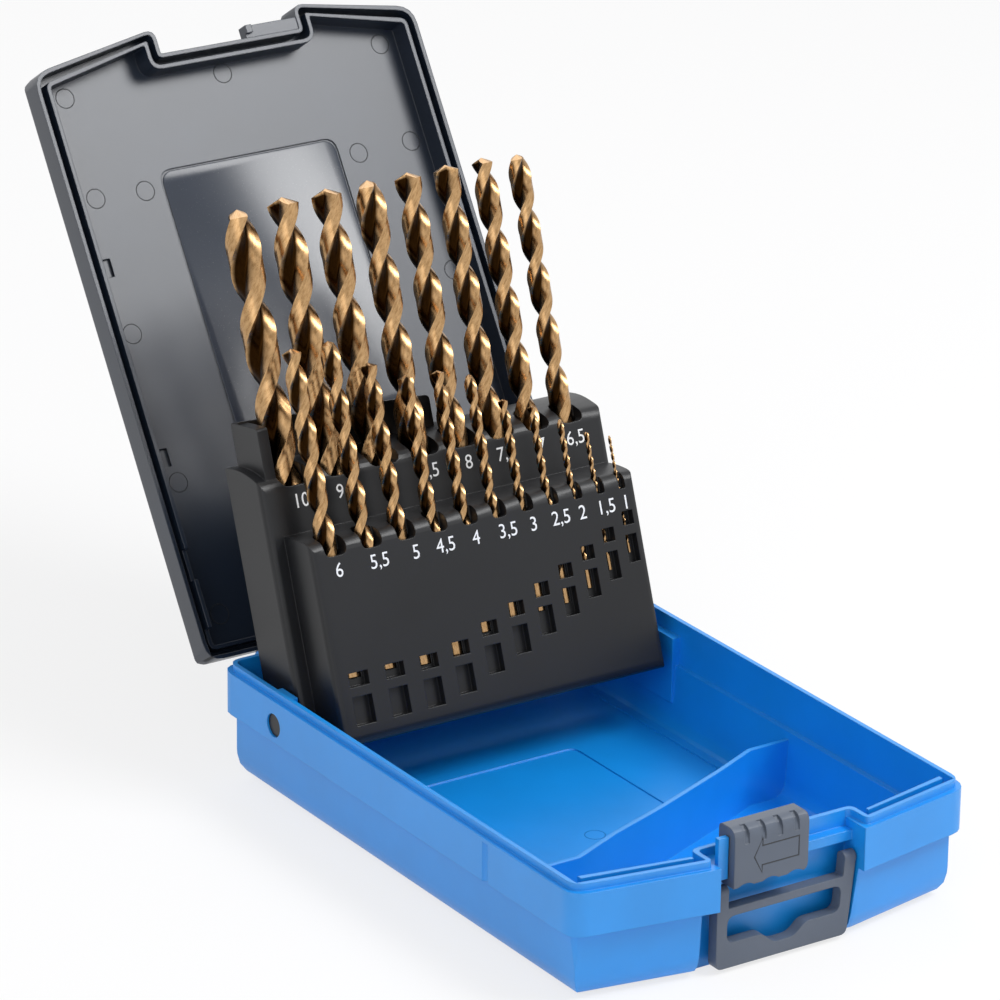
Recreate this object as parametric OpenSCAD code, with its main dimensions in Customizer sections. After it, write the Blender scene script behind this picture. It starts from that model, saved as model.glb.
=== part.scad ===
// Hinged drill bit case: a tray with a lid, a two-tier holder that folds down with the lid,
// nineteen twist drills, a sliding catch and a swing-out hanger. Millimetres, +Z up.
// The front of the case faces -Y; the origin is the centre of the tray's underside.
// Everything is drawn as it stands open: lid leaning back, holder up, catch to the left.

/* [Tray] */
// Width of the tray over its upright lip
case_w = 126; // [114:1:138]
// Depth of the tray over its lip, at the side walls
case_d = 173; // [172:0.5:178]
// How far the front edge bows out between the side walls and the notch
front_bow = 7; // [6.5:0.1:7.5]
// Height of the tray to the top of its lip
tray_h = 34.8; // [34.4:0.2:37]
// Height of the lip above the ledge the lid rests on
lip_h = 2.1; // [1.6:0.1:2.4]
// Thickness of the lip
lip_t = 1.4; // [1.2:0.05:1.4]
// How far the thick band stands out from the lip
band_t = 1.5; // [1.4:0.1:1.8]
// Height of the thick band under the ledge
band_h = 12.6; // [11.6:0.2:14]
// Wall thickness of the tray body
wall_t = 1.8; // [1.6:0.1:2.2]
// Thickness of the tray floor
floor_t = 2; // [1.6:0.1:2.4]
// Height of the slanting divider above the floor
divider_h = 17; // [12:0.5:18]
// Thickness of the divider
divider_t = 1.4; // [1.1:0.1:1.8]
// Depth of the notch in the front for the catch and the hanger
notch_depth = 7.7; // [7.5:0.1:8]

/* [Lid] */
// Lean of the open lid behind the vertical, degrees
lid_lean = 32.9; // [28:0.5:36]
// Depth of the lid inside
lid_in = 7.5; // [7.2:0.1:8.5]
// Thickness of the lid plate
lid_t = 1.8; // [1.6:0.1:2.2]
// Thickness of the lid's outer rim
rim_t = 1.2; // [1:0.05:1.25]
// Thickness of the lid's inner rib
rib_t = 1.2; // [1:0.05:1.4]
// Length of each hinge barrel
barrel_len = 16; // [12:1:20]

/* [Holder] */
// Lean of the raised holder behind the vertical, degrees
holder_lean = 19.65; // [16:0.5:22]
// Height of the front tier above the pivot, at its back
front_top = 51.4; // [50:0.2:52]
// Height of the rear tier above the pivot, at its back
rear_top = 72; // [71:0.1:73]
// Radius of the holder's pivot pins
pivot_r = 3.4; // [3:0.1:3.8]
// From the last drill of the front tier to the tier's right end
front_end = 4.4; // [4:0.1:5]
// From the last drill of the rear tier to the tier's right end
rear_end = 10.3; // [9.5:0.1:12]
// Radial clearance of a drill shank in its pocket
pocket_gap = 0.2; // [0.1:0.05:0.3]

/* [Drills] */
// Length of one turn of the flutes, in diameters
lead_ratio = 4.65; // [4:0.05:5.5]
// Angle at the tip of a drill, degrees
point_angle = 130; // [118:1:140]
// Depth of a flute as a share of the radius
flute_depth = 0.5; // [0.4:0.01:0.55]

/* [Catch and hanger] */
// Width of the sliding catch
catch_w = 24; // [22:0.5:24]
// Height of the top of the catch above the lid
catch_rise = 0.2; // [0:0.1:1]
// Width of the hanger
hanger_w = 43.2; // [41:0.2:43.6]
// Thickness of the hanger
hanger_t = 3.6; // [3:0.1:3.8]
// Height of the hanger's foot above the underside
hanger_foot = 1.2; // [1:0.1:2.4]

/* [Hidden] */
fit = 0.05;
gap = 0.3;
eps = 0.01;
n_arc = 4;

hw = case_w / 2;
hd = case_d / 2;
ledge_z = tray_h - lip_h;
band_z = ledge_z - band_h;
step_z = band_z + 1.4;
body_in = 2.5;
body_draft = 1.2;
fillet_r = 6.5;
rib_in = lip_t + gap + rib_t + 0.65;
rib_out = rib_in + 1.3;

// the notch in the front, measured on the outer face of the lip
notch_l = -23.7;
notch_r = 26.4;
notch_y = -(hd + front_bow - notch_depth);
recess_l = notch_l + band_t;
recess_r = notch_r - band_t;
front_y = -(hd + front_bow + band_t);
rail_z = ledge_z - 5.5;
rail_h = 2.9;
rail_y = notch_y - 3.2;
post_y = notch_y - 6.8;
recess_out = 3.6;

// the lid's hinge line and the closed heights of the lid
hinge_y = hd + band_t + 3.1;
hinge_z = ledge_z - 2.2;
hinge_r = 2.5;
pin_r = 1.3;
barrel_x = hw - 25;
lug_t = 3.6;
lid_z = ledge_z + gap;
lid_in_z = lid_z + lid_in;
lid_top = lid_in_z + lid_t;
lid_open = 90 + lid_lean;
lid_rib_e = -(lip_t + gap + 0.05);
label_x = hw - 33;
label_y0 = -hd + 31.5;
label_y1 = hd - 59.5;

// the holder's pivot line and its two tiers
pivot_y = hd - 26.8;
pivot_z = tray_h - 9.4;
pad_x = hw - 4;
hold_l = -hw + 4.8;
hold_r = hw - 6.2;
tier_l = hold_l + 4.7;
tier_r = hold_r - 1.8;
back_y = 12.4;
rear_y = -5.3;
tier_y = -18.8;
tier_wall = 1.6;
rear_cut = rear_top - 7.4;
front_cut = front_top - 7.2;
mouth_flare = 0.4;
end_round = 2;
rest_y = rear_y + tier_wall + pocket_gap + 10 + gap;

// drills: diameters fall by half a millimetre from left to right
rear_len = [133, 125, 125, 117, 117, 109, 109, 101];
front_len = [93, 93, 86, 80, 75, 70, 61, 57, 49, 40, 34];
rear_floor = [9.6, 18.6, 18.6, 26.6, 26.6, 34.6, 34.6, 41.6];
front_floor = [9.6, 9.6, 8.4, 8.9, 13.2, 15.2, 15.3, 15.7, 18.3, 22, 25.6];
rear_x0 = hold_l + 12.3;
front_x0 = tier_l + 7.9;
rear_gap = (hold_r - rear_end - rear_x0 - row_sum(8, 10)) / 7;
front_gap = (tier_r - front_end - front_x0 - row_sum(11, 6)) / 10;
rest_l = hold_l + 3.2;
shank_play = 0.01;

// width of a row of n touching drills between the centres of its first, d thick, and its last
function row_sum(n, d) = (n - 1) * (d - 0.25) - (n - 1) * (n - 2) / 4;
function rear_d(i) = 10 - i / 2;
function front_d(i) = 6 - i / 2;
function rear_x(i) = i == 0 ? rear_x0 : rear_x(i - 1) + (rear_d(i - 1) + rear_d(i)) / 2 + rear_gap;
function front_x(i) = i == 0 ? front_x0 : front_x(i - 1) + (front_d(i - 1) + front_d(i)) / 2 + front_gap;
function rear_c(i) = rear_y + tier_wall + pocket_gap + rear_d(i) / 2;
function front_c(i) = tier_y + tier_wall + pocket_gap + front_d(i) / 2;
function flute_len(len) = 0.76 * len - 14;
function window_z(i) = i < 3 ? 9.4 : 10.9 + 3.55 * (i - 3);
function window_w(i) = 3.3 + 0.53 * front_d(i);

// the catch slides along the rail in front of the notch
catch_l = notch_l + 5.7;
catch_front = front_y + 0.05;
catch_back = notch_y - band_t - gap;
catch_top = lid_top + catch_rise;
catch_foot = rail_z - 1.7;
tab_l = catch_l + catch_w + 1;
tab_y = notch_y - 5.2;
tab_z = lid_z + 0.3;
tab_top = lid_z + 3.5;

// the hanger's pivot line
hang_l = (recess_l + recess_r - hanger_w) / 2 - 0.55;
hang_y = notch_y - 4.2;
hang_z = rail_z - 4;
hang_pin_r = 1.2;

// a corner p1 between p0 and p2, rounded off t from the corner
function toward(a, b, t) = a + t * (b - a) / norm(b - a);
function curve_at(a, p, b, u) = (1 - u) * (1 - u) * a + 2 * u * (1 - u) * p + u * u * b;
function bend(p0, p1, p2, t) = t <= 0 ? [p1]
    : [for (i = [0 : n_arc]) curve_at(toward(p1, p0, t), p1, toward(p1, p2, t), i / n_arc)];
function soften(pts, cut) = let (n = len(pts))
    [for (k = [0 : n - 1]) each bend(pts[(k + n - 1) % n], pts[k], pts[(k + 1) % n], cut[k])];

// the lip's outer face grown by e, at the corners of the outline
function case_corners(e) = [
    [-hw - e, hd + e],
    [-hw - e, -hd - e],
    [notch_l + e, -hd - front_bow - e],
    [notch_l + e, notch_y - e],
    [notch_r - e, notch_y - e],
    [notch_r - e, -hd - front_bow - e],
    [hw + e, -hd - e],
    [hw + e, hd + e]];
module case_outline(e) {
    c = max(4 + e, 1);
    out = e < 0 ? 0.8 : 2 + e;
    in = e < 0 ? 1 - e : max(2 - e, 0.5);
    polygon(soften(case_corners(e), [c, c, out, in, in, out, c, c]));
}
// the same outline without the notch
module full_outline(e) {
    c = max(4 + e, 1);
    p = case_corners(e);
    polygon(soften([p[0], p[1], p[2], p[5], p[6], p[7]], [c, c, 0.8, 0.8, c, c]));
}
// front edge line of the lip at x
function front_at(x) = x < 0 ? -hd - front_bow * (x + hw) / (notch_l + hw)
    : -hd - front_bow * (hw - x) / (hw - notch_r);

// a side seen end on: drafted wall with a rounded foot, from the centre line out to w
module side_profile(w, z0, z1, r, draft) {
    polygon(concat([[0, z0]], bend([0, z0], [w - draft, z0], [w, z1], r), [[w, z1], [0, z1]]));
}
// a block on the full outline grown by e, its sides drafted inwards towards z0
module drafted_block(e, z0, z1, r, draft) {
    w = hw + e;
    d = hd + e;
    turn_l = atan2(front_bow, notch_l + hw);
    turn_r = atan2(front_bow, hw - notch_r);
    intersection() {
        for (m = [0, 1]) mirror([m, 0, 0])
            rotate([90, 0, 0]) linear_extrude(case_d + 60, center = true)
                side_profile(w, z0, z1, r, draft);
        union() {
            rotate([90, 0, 90]) linear_extrude(case_w + 20, center = true)
                side_profile(d, z0, z1, r, draft);
            rotate([90, 0, -90]) linear_extrude(case_w + 20, center = true)
                side_profile(d + front_bow, z0, z1, r, draft);
        }
        translate([-w, -d, 0]) rotate([0, 0, -turn_l]) rotate([90, 0, -90])
            translate([-300, 0, 0]) linear_extrude(600, center = true)
                side_profile(300, z0, z1, r, draft);
        translate([w, -d, 0]) rotate([0, 0, turn_r]) rotate([90, 0, -90])
            translate([-300, 0, 0]) linear_extrude(600, center = true)
                side_profile(300, z0, z1, r, draft);
        translate([0, 0, z0]) linear_extrude(z1 - z0) full_outline(e + 0.02);
    }
}
// inside of the tray: s in from the lip's outer face at the sides and the rear
module inner_outline(s, aside = 0) {
    p = [
        [-hw + s, hd - s],
        [-hw + s, -hd + rib_out],
        [notch_l - lip_t - aside, front_at(notch_l) + rib_out],
        [notch_l - lip_t - aside, notch_y + lip_t],
        [notch_r + lip_t, notch_y + lip_t],
        [notch_r + lip_t, front_at(notch_r) + rib_out],
        [hw - s, -hd + rib_out],
        [hw - s, hd - s]];
    polygon(soften(p, [2.4, 1, 0.8, 1 + lip_t, 1 + lip_t, 0.8, 1, 2.4]));
}
// a strip along the front between two distances from the lip's outer face
module front_strip(x0, x1, s0, s1, z0) {
    translate([0, 0, z0]) linear_extrude(60)
        polygon([[x0, front_at(x0) + s0], [x1, front_at(x1) + s0],
            [x1, front_at(x1) + s1], [x0, front_at(x0) + s1]]);
}
// slots the lid's rib drops into, open towards the inside at both ends of each
module front_slots() {
    front_strip(-hw + lip_t, notch_l - lip_t, lip_t, rib_in, ledge_z - 9);
    front_strip(notch_r + lip_t, hw - lip_t, lip_t, rib_in, ledge_z - 9);
    front_strip(notch_l - lip_t - rib_t - 0.9, notch_l - lip_t, lip_t + 0.4, rib_out + 1, ledge_z - 9);
    front_strip(notch_r + lip_t, notch_r + lip_t + rib_t + 0.9, lip_t + 0.4, rib_out + 1, ledge_z - 9);
    front_strip(-hw + lip_t, -hw + lip_t + rib_t + 1.3, lip_t + 0.4, rib_out + 1, ledge_z - 0.5);
    front_strip(hw - lip_t - rib_t - 1.3, hw - lip_t, lip_t + 0.4, rib_out + 1, ledge_z - 0.5);
}
// point k of a line moved sideways by s, square to the line there
function along(line, k) = let (n = len(line), a = line[max(k - 1, 0)], b = line[k],
        c = line[min(k + 1, n - 1)])
    k == 0 ? toward([0, 0], c - b, 1) : k == n - 1 ? toward([0, 0], b - a, 1)
    : toward([0, 0], toward([0, 0], b - a, 1) + toward([0, 0], c - b, 1), 1);
function beside(line, k, s) = let (d = along(line, k)) line[k] + s * [-d[1], d[0]];
// the slanting divider: one thin wall on a bent line from side wall to side wall
module divider() {
    line = [[-hw, -hd + 41.5], [-hw + 30, -hd + 41.5], [-hw + 47, -hd + 48.9], [hw - 58.2, -hd + 56.3],
        [hw - 31, -hd + 67.3], [hw - 16, -hd + 74.1], [hw, -hd + 74.3]];
    n = len(line) - 1;
    translate([0, 0, floor_t - 1]) linear_extrude(divider_h + 1)
        polygon(concat([for (k = [0 : n]) beside(line, k, divider_t / 2)],
            [for (k = [0 : n]) beside(line, n - k, -divider_t / 2)]));
}
module hinge_lug(x0) {
    translate([x0, 0, 0]) rotate([90, 0, 90]) linear_extrude(lug_t) union() {
        translate([hinge_y, hinge_z]) circle(r = hinge_r, $fn = 32);
        polygon([[hd + band_t - 0.5, hinge_z - 7], [hinge_y + 0.8, hinge_z - hinge_r + 0.2],
            [hinge_y, hinge_z + hinge_r - 0.1], [hd + band_t - 0.5, hinge_z + 1.6]]);
    }
}
module base_solid() {
    difference() {
        union() {
            drafted_block(band_t - body_in, 0, band_z + 0.5, fillet_r, body_draft);
            translate([0, 0, band_z]) linear_extrude(ledge_z - band_z) full_outline(band_t);
            translate([0, 0, band_z]) linear_extrude(tray_h - band_z) case_outline(0);
        }
        // the inside: lower part with drafted walls, upper part out to the lip
        intersection() {
            drafted_block(band_t - body_in - wall_t, floor_t, step_z + eps, 5, 1);
            translate([0, 0, floor_t - 1]) linear_extrude(60) inner_outline(lip_t, recess_out - band_t + 0.2);
        }
        translate([0, 0, step_z]) linear_extrude(60) inner_outline(lip_t);
        front_slots();
        // notch for the catch and, under it, the recess for the hanger, wider to the left below the band
        translate([0, notch_y, 0]) rotate([90, 0, 0]) linear_extrude(40)
            polygon([[recess_l - recess_out, -1], [recess_r - 2.2, -1], [recess_r, band_z], [recess_r, 80],
                [recess_l, 80], [recess_l, band_z], [recess_l - recess_out, band_z]]);
        // the floor inside the panel line lies a little lower
        translate([0, 0, floor_t - 0.4]) linear_extrude(1)
            polygon(soften([[-hw + 35, hd - 40.5], [-hw + 35, -hd + 49.5], [-hw + 47, -hd + 51.5],
                [hw - 35, -hd + 68.5], [hw - 35, hd - 40.5]], [3, 1, 1, 1, 3]));
    }
    // divider and the low strip along the right wall, ending in the side walls
    intersection() {
        union() {
            divider();
            translate([hw - 9, -hd + 78.5, floor_t - 1]) cube([9, hd - 4, 1.6]);
        }
        drafted_block(band_t - body_in - wall_t / 2, floor_t - 0.9, step_z, 5.4, 1);
    }
    // pads round the holder's pivot on the side walls
    for (m = [0, 1]) mirror([m, 0, 0]) {
        translate([pad_x, pivot_y - 17.5, floor_t + 8])
            cube([hw - pad_x - 2.3, 34, step_z - floor_t - 8 + 1]);
        translate([pad_x, pivot_y - 17.5, step_z]) cube([hw - pad_x - lip_t / 2, 34, ledge_z - step_z - 2.6]);
        translate([pad_x, pivot_y - 4, pivot_z]) cube([hw - pad_x - lip_t / 2, 8, tray_h - pivot_z - 0.8]);
    }
    // rail the catch hooks under, and the stop at its left end
    translate([recess_l + 3.8, rail_y, rail_z])
        cube([recess_r - recess_l - 3.8 + 1, notch_y - rail_y + 0.5, rail_h]);
    translate([recess_l - 1, post_y, rail_z + 0.8])
        cube([catch_l - gap - 0.1 - recess_l + 1, notch_y - post_y + 0.5, 4.4]);
    translate([catch_l - gap - 3.3, post_y, rail_z + 0.8])
        cube([3.2, 1.6, tray_h + 5.2 - rail_z - 0.8]);
    for (m = [0, 1]) mirror([m, 0, 0]) {
        hinge_lug(barrel_x - barrel_len / 2 - gap - lug_t);
        hinge_lug(barrel_x + barrel_len / 2 + gap);
    }
}
module base_tray() color([0.05, 0.42, 0.85]) {
    difference() {
        base_solid();
        // bores for the holder's pivot pins, through both side walls
        translate([-hw - 10, pivot_y, pivot_z]) rotate([0, 90, 0])
            cylinder(r = pivot_r + fit, h = case_w + 20, $fn = 48);
        // blind holes for the hanger's pins in the side walls of the recess
        translate([recess_l - 1.6, hang_y, hang_z]) rotate([0, 90, 0])
            cylinder(r = hang_pin_r + fit, h = recess_r - recess_l + 3.2, $fn = 32);
        // upright flutes in the band
        for (m = [0, 1]) mirror([m, 0, 0]) translate([hw + band_t + 0.9, -hd + 39.5, band_z - 1])
            cylinder(r = 1.7, h = band_h - 0.2, $fn = 32);
    }
    // pins of the lid's hinge, between the lugs
    for (m = [0, 1]) mirror([m, 0, 0])
        translate([barrel_x - barrel_len / 2 - gap - 1, hinge_y, hinge_z]) rotate([0, 90, 0])
            cylinder(r = pin_r, h = barrel_len + 2 * gap + 2, $fn = 32);
}

module in_lid() {
    translate([0, hinge_y, hinge_z]) rotate([-lid_open, 0, 0]) translate([0, -hinge_y, -hinge_z])
        children();
}
module lid_barrel() {
    translate([barrel_x - barrel_len / 2, 0, 0]) rotate([90, 0, 90]) linear_extrude(barrel_len) union() {
        translate([hinge_y, hinge_z]) circle(r = hinge_r, $fn = 32);
        polygon([[hd + band_t - 0.6, lid_z + 0.3], [hinge_y - 1.4, hinge_z + 1.9],
            [hinge_y + hinge_r - 0.1, hinge_z + 0.3], [hinge_y + 1.2, hinge_z + 6],
            [hd + band_t - 0.6, lid_z + 5.4]]);
    }
}
module lid() color([0.22, 0.29, 0.38]) in_lid() {
    difference() {
        union() {
            intersection() {
                translate([0, 0, lid_top]) mirror([0, 0, 1])
                    drafted_block(band_t, 0, lid_top - lid_z, 1.8, 0.4);
                translate([0, 0, lid_z - 1]) linear_extrude(30) case_outline(band_t);
            }
            for (m = [0, 1]) mirror([m, 0, 0]) lid_barrel();
        }
        // room inside the rib, and the groove between the rib and the rim
        translate([0, 0, lid_z - 1]) linear_extrude(lid_in + 1) case_outline(lid_rib_e - rib_t);
        translate([0, 0, lid_z - 1]) linear_extrude(lid_in - 0.2) difference() {
            case_outline(band_t - rim_t);
            case_outline(lid_rib_e);
        }
        // the rib stands back from the rear lip and from the pivot pads
        translate([-hw, hd - 8, lid_z - 1]) cube([case_w, 8.2, lip_h + 1.4]);
        translate([-hw + 0.2, pivot_y - 4.6, lid_z - 1]) cube([case_w - 0.4, 9.2, lip_h + 0.8]);
        // sunken label panel, left plain, and two small slots at the left
        translate([0, 0, lid_in_z - 1]) linear_extrude(1.4)
            polygon(soften([[-label_x, label_y1], [-label_x, label_y0], [label_x, label_y0],
                [label_x, label_y1]], [4, 4, 4, 4]));
        for (y = [-hd + 53.9, hd - 61.9]) translate([-hw + 5.6, y, lid_in_z - 1]) cube([3.8, 5.4, 2]);
        for (m = [0, 1]) mirror([m, 0, 0])
            translate([barrel_x - barrel_len / 2 - 1, hinge_y, hinge_z]) rotate([0, 90, 0])
                cylinder(r = pin_r + fit, h = barrel_len + 2, $fn = 32);
    }
    // tab the catch slides over, with a small hook at its left end
    translate([tab_l, tab_y, tab_z])
        cube([recess_r - tab_l + 0.3, notch_y - tab_y - band_t + 0.6, tab_top - tab_z]);
    translate([tab_l, tab_y, tab_z - 1.2]) cube([2, 2.4, tab_top - tab_z + 1.2]);
}

module in_holder() {
    translate([0, pivot_y, pivot_z]) rotate([-holder_lean, 0, 0]) children();
}
// a slab along X between x0 and x1 with an outline in the holder's y and z
module slab(x0, x1, pts, cut) {
    translate([x0, 0, 0]) rotate([90, 0, 90]) linear_extrude(x1 - x0) polygon(soften(pts, cut));
}
// a bore for one drill and its wider mouth, cut through the front wall with rounded lower corners
module pocket(x, y, d, base, top, cut_z, face) {
    w = d / 2 + pocket_gap + mouth_flare;
    translate([x, y, base]) cylinder(r = (d / 2 + pocket_gap) / cos(15), h = top - base + 1, $fn = 12);
    translate([x, y, cut_z]) rotate([90, 0, 0]) linear_extrude(y - face + 1)
        polygon(soften([[-w, 0], [w, 0], [w, top - cut_z + 1], [-w, top - cut_z + 1]],
            [0.6 * w, 0.6 * w, 0, 0]));
}
// a tier from its lower outline to a top that falls gently towards the rounded front edge
module tier(x0, x1, front, back, low, foot, top, fall) {
    intersection() {
        slab(x0, x1, [[front, low], [back, low], [back, top],
            [front + 0.55 * (back - front), top - 0.13 * fall], [front, top - fall]], [foot, 4, 0.8, 5, 3]);
        translate([0, 0, low - 1]) linear_extrude(top - low + 2)
            polygon(soften([[x0, front], [x1, front], [x1, back], [x0, back]], [end_round, end_round, 0, 0]));
    }
}
module drill_holder() color([0.13, 0.15, 0.17]) in_holder() {
    difference() {
        union() {
            tier(hold_l, hold_r, rear_y, back_y, -8, 0, rear_top, 5.2);
            tier(tier_l, tier_r, tier_y, rear_y + 3, -9, 3, front_top, 3.2);
            // rest behind the first drills, and its deeper cheek at the left
            translate([0, back_y - 2, 0]) rotate([90, 0, 0]) linear_extrude(back_y - 2 - rest_y)
                polygon(soften([[rest_l, rear_top - 4], [rear_x(4) - 1.9, rear_top - 4],
                    [rear_x(4) - 1.9, rear_top + 8.3], [rest_l, rear_top + 12.2]], [0, 0, 1.5, 1]));
            slab(rest_l, rear_x0 - 5.5 - pocket_gap, [[-3.6, rear_top - 8], [back_y - 2, rear_top - 4],
                [back_y - 2, rear_top + 12.2], [-3.6, rear_top + 10]], [0, 0, 1, 1]);
        }
        for (i = [0 : 7])
            pocket(rear_x(i), rear_c(i), rear_d(i), rear_floor[i], rear_top, rear_cut, rear_y);
        for (i = [0 : 10])
            pocket(front_x(i), front_c(i), front_d(i), front_floor[i], front_top, front_cut, tier_y);
        // windows through the front wall, two for each small drill
        for (i = [0 : 10]) {
            translate([front_x(i) - window_w(i) / 2, tier_y - 1, window_z(i) - 2])
                cube([window_w(i), 3.6, 4]);
            translate([front_x(i) - window_w(i) / 2, tier_y - 1, window_z(i) - 12.8])
                cube([window_w(i), 3.6, 8]);
        }
    }
    // pivot pins, running in the side walls of the tray
    for (m = [0, 1]) mirror([m, 0, 0])
        translate([min(-hold_l, hold_r) - 6, 0, 0]) rotate([0, 90, 0])
            cylinder(r = pivot_r, h = hw + band_t - 0.6 - min(-hold_l, hold_r) + 6, $fn = 48);
}

// radius of the fluted part at angle a, with the flutes k deep (0 none, 1 full)
function flute_r(r, a, k) = r * (1 - flute_depth * k * pow(0.5 + 0.5 * cos(2 * a), 0.9));
module drill(d, len) {
    r = d / 2 - shank_play;
    fl = flute_len(len);
    cone = r / tan(point_angle / 2);
    start = len - fl;
    rings = ceil((d < 3 ? 5.5 : 6.3) * (fl - cone) / (lead_ratio * d));
    k = 8;
    function z_at(i) = i == 0 ? start - 0.12 * d : start + (fl - cone) * (i - 0.5) / (rings - 0.5);
    pts = concat(
        [for (i = [0 : rings], j = [0 : k - 1])
            let (z = z_at(i), a = 360 * j / k, t = a + 360 * z / (lead_ratio * d),
                q = i == 0 ? 0.9 * r : flute_r(r, a, min(1, 0.3 + (z - start) / (1.3 * d))))
            [q * cos(t), q * sin(t), z]],
        [[0, 0, len]]);
    faces = concat(
        [[for (j = [0 : k - 1]) j]],
        [for (i = [0 : rings - 1], j = [0 : k - 1])
            [i * k + j, (i + 1) * k + j, (i + 1) * k + (j + 1) % k]],
        [for (i = [0 : rings - 1], j = [0 : k - 1])
            [i * k + j, (i + 1) * k + (j + 1) % k, i * k + (j + 1) % k]],
        [for (j = [0 : k - 1]) [rings * k + j, (rings + 1) * k, rings * k + (j + 1) % k]]);
    cylinder(r = r, h = start, $fn = 32);
    polyhedron(points = pts, faces = faces, convexity = 6);
}
module rear_drill(i) color([0.72, 0.52, 0.22]) in_holder()
    translate([rear_x(i), rear_c(i), rear_floor[i]]) drill(rear_d(i), rear_len[i]);
module front_drill(i) color([0.72, 0.52, 0.22]) in_holder()
    translate([front_x(i), front_c(i), front_floor[i]]) drill(front_d(i), front_len[i]);

// outline of the catch seen from its end, as y and z
function catch_pts() = [
    [catch_front, catch_foot],
    [rail_y + 1.2, catch_foot],
    [rail_y + 1.2, rail_z - gap],
    [rail_y - gap, rail_z - gap],
    [rail_y - gap, rail_z + rail_h + gap],
    [tab_y - 0.4, rail_z + rail_h + gap],
    [tab_y - 0.4, tab_top + 0.4],
    [catch_back, tab_top + 0.4],
    [catch_back, catch_top],
    [catch_front, catch_top]];
module latch_slider() color([0.40, 0.44, 0.48]) {
    difference() {
        intersection() {
            translate([catch_l, 0, 0]) rotate([90, 0, 90]) linear_extrude(catch_w)
                polygon(soften(catch_pts(), [0.6, 0, 0, 0, 0, 0, 0, 0, 1.6, 3.2]));
            translate([catch_l, catch_back + 1, 0]) rotate([90, 0, 0])
                linear_extrude(catch_back - catch_front + 2) polygon(soften(
                    [[0, catch_foot], [catch_w, catch_foot], [catch_w, catch_top], [0, catch_top]],
                    [0.3, 2.4, 1.2, 0.3]));
        }
        // four short grip grooves over the front of the top edge
        for (i = [0 : 3]) translate([catch_l + 3.1 + 5.4 * i, 0, 0]) rotate([90, 0, 90]) linear_extrude(1.6)
            difference() {
                translate([catch_front - 2, catch_top - 4.6]) square([4.9, 7]);
                polygon(soften(
                    [[catch_front + 0.1, catch_foot], [catch_back, catch_foot], [catch_back, catch_top],
                        [catch_front + 0.1, catch_top]], [0, 0, 0, 5.4]));
            }
        // scalloped bottom edge
        for (i = [0 : 2]) translate([catch_l + catch_w / 6 * (1 + 2 * i), catch_front + 1, catch_foot - 3.4])
            rotate([90, 0, 0]) cylinder(r = 4.4, h = 6, center = true, $fn = 32);
    }
}

module hanger() color([0.40, 0.44, 0.48]) {
    w = hanger_w;
    top = hang_z - hanger_foot;
    slot_z = 7.2;
    bar_z = 17.3;
    translate([hang_l, hang_y + hanger_t / 2, hanger_foot]) rotate([90, 0, 0]) linear_extrude(hanger_t)
        difference() {
            polygon(soften([[0, 0], [w - 0.4, 0], [w + 2, top], [w - 1.6, top], [w - 2, bar_z], [3.6, bar_z],
                [3.6, top], [0, top]], [2, 2, 0, 0, 0.6, 0.6, 0, 0]));
            polygon(soften([[3.3, slot_z + 7.8], [3.3, slot_z], [w / 2 - 6.6, slot_z],
                [w / 2 - 3.1, slot_z - 3.4], [w / 2 + 3.9, slot_z - 3.4], [w / 2 + 7.4, slot_z],
                [w - 2.9, slot_z], [w - 2.5, slot_z + 7.8]], [2.6, 2.6, 1.6, 2, 2, 1.6, 2.6, 2.6]));
        }
    for (x = [hang_l, hang_l + w - 1.6]) translate([x, hang_y, hang_z]) rotate([0, 90, 0])
        cylinder(r = hanger_t / 2 + 0.1, h = 3.6, $fn = 32);
    translate([recess_l - 1.3, hang_y, hang_z]) rotate([0, 90, 0])
        cylinder(r = hang_pin_r, h = hang_l - recess_l + 2.3, $fn = 32);
    translate([hang_l + w + 1, hang_y, hang_z]) rotate([0, 90, 0])
        cylinder(r = hang_pin_r, h = recess_r + 0.3 - hang_l - w, $fn = 32);
}

base_tray();
lid();
drill_holder();
latch_slider();
hanger();
rear_drill(0);  // drill_10
rear_drill(1);  // drill_9_5
rear_drill(2);  // drill_9
rear_drill(3);  // drill_8_5
rear_drill(4);  // drill_8
rear_drill(5);  // drill_7_5
rear_drill(6);  // drill_7
rear_drill(7);  // drill_6_5
front_drill(0);  // drill_6
front_drill(1);  // drill_5_5
front_drill(2);  // drill_5
front_drill(3);  // drill_4_5
front_drill(4);  // drill_4
front_drill(5);  // drill_3_5
front_drill(6);  // drill_3
front_drill(7);  // drill_2_5
front_drill(8);  // drill_2
front_drill(9);  // drill_1_5
front_drill(10);  // drill_1
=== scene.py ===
"""Drill bit case, standing open: finishes for the moulded parts, and the drills, numbers,
marks and label plate that are added on the frame. Sizes are in metres."""

from types import SimpleNamespace
import bpy
import numpy as np
from mathutils import Matrix, Vector


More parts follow.
